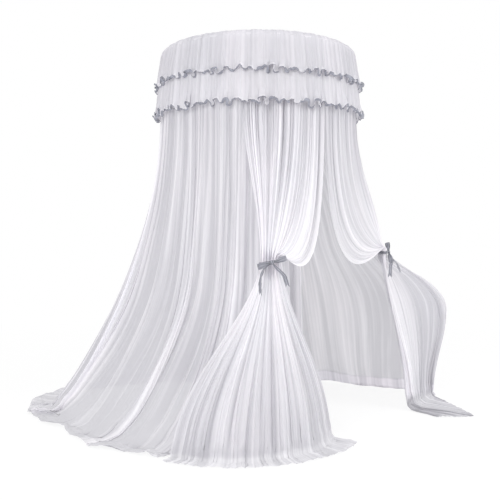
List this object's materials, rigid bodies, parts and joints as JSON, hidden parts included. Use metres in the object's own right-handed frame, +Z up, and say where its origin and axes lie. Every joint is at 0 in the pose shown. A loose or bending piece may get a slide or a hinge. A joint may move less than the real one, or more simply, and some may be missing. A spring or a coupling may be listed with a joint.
{
  "type": "bed crown canopy",
  "caption": "Round-hoop bed canopy hung from a ceiling swivel: gathered two-tier valance with ruffled trim, floor-length sheer curtains, front panels tied back with bows.",
  "frame": {"origin": "centre of the flat top face of the ceiling plate, where it lies against the ceiling", "axes": "+Z up, -Y out through the doorway between the two tied panels, +X to the right of a person who looks in through the doorway"},
  "size_m": [2.1091, 2.4027, 2.24],
  "materials": {
    "steel": "satin plated steel",
    "hoop_tube": "white powder coat",
    "webbing": "flat woven tape",
    "sheer_cloth": "fine sheer net",
    "lace_trim": "ruffled open lace ribbon",
    "ribbon": "soft ribbon"
  },
  "bodies": {
    "ceiling_mount": {"ceiling_plate": "steel", "swivel_cup": "steel", "cup_screw_1": "steel", "cup_screw_2": "steel", "cup_screw_3": "steel"},
    "canopy": {"swivel_hook": "steel", "crown_hub": "steel", "hub_washer": "steel", "hub_screw": "steel", "hoop_segment_1": "hoop_tube", "hoop_segment_2": "hoop_tube", "hoop_segment_3": "hoop_tube", "hoop_segment_4": "hoop_tube", "hoop_sleeve_1": "hoop_tube", "hoop_sleeve_2": "hoop_tube", "hoop_sleeve_3": "hoop_tube", "hoop_sleeve_4": "hoop_tube", "hanging_tape_1": "webbing", "hanging_tape_2": "webbing", "hanging_tape_3": "webbing", "hanging_tape_4": "webbing", "hanging_tape_5": "webbing", "hanging_tape_6": "webbing", "roof_panel": "sheer_cloth", "upper_valance": "sheer_cloth", "lower_valance": "sheer_cloth", "side_curtain": "sheer_cloth", "back_curtain": "sheer_cloth", "back_hem": "sheer_cloth", "left_panel": "sheer_cloth", "right_panel": "sheer_cloth", "upper_trim": "lace_trim", "lower_trim": "lace_trim", "left_tie_band": "ribbon", "left_tie_knot": "ribbon", "left_bow_loop_1": "ribbon", "left_bow_loop_2": "ribbon", "left_bow_tail_1": "ribbon", "left_bow_tail_2": "ribbon", "right_tie_band": "ribbon", "right_tie_knot": "ribbon", "right_bow_loop_1": "ribbon", "right_bow_loop_2": "ribbon", "right_bow_tail_1": "ribbon", "right_bow_tail_2": "ribbon"}
  },
  "joints": [
    {"name": "hook_swivel", "type": "hinge", "parent": "ceiling_mount", "child": "canopy", "pos_m": [0, 0, -0.02], "axis": [0, 0, 1], "continuous": true}
  ]
}
